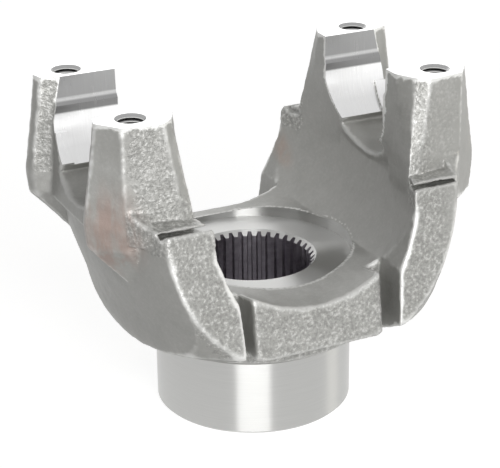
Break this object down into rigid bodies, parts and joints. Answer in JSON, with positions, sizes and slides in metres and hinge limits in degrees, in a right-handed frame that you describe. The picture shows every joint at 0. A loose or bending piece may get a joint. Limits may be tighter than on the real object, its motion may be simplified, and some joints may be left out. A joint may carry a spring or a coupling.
{
  "type": "half-round end yoke",
  "caption": "Forged steel driveline end yoke: splined hub, curved ears with half-round bearing saddles and tapped strap bolt holes.",
  "frame": {"origin": "centre of the hub's lower face, on the spline axis", "axes": "+Z along the spline axis, from the hub towards the saddles; X through both ears and along the saddles"},
  "size_m": [0.1718, 0.1326, 0.1441],
  "materials": {
    "forged_steel": "shot-blasted forging with bright machined faces"
  },
  "bodies": {
    "root": {"half_round_yoke": "forged_steel"}
  },
  "joints": []
}
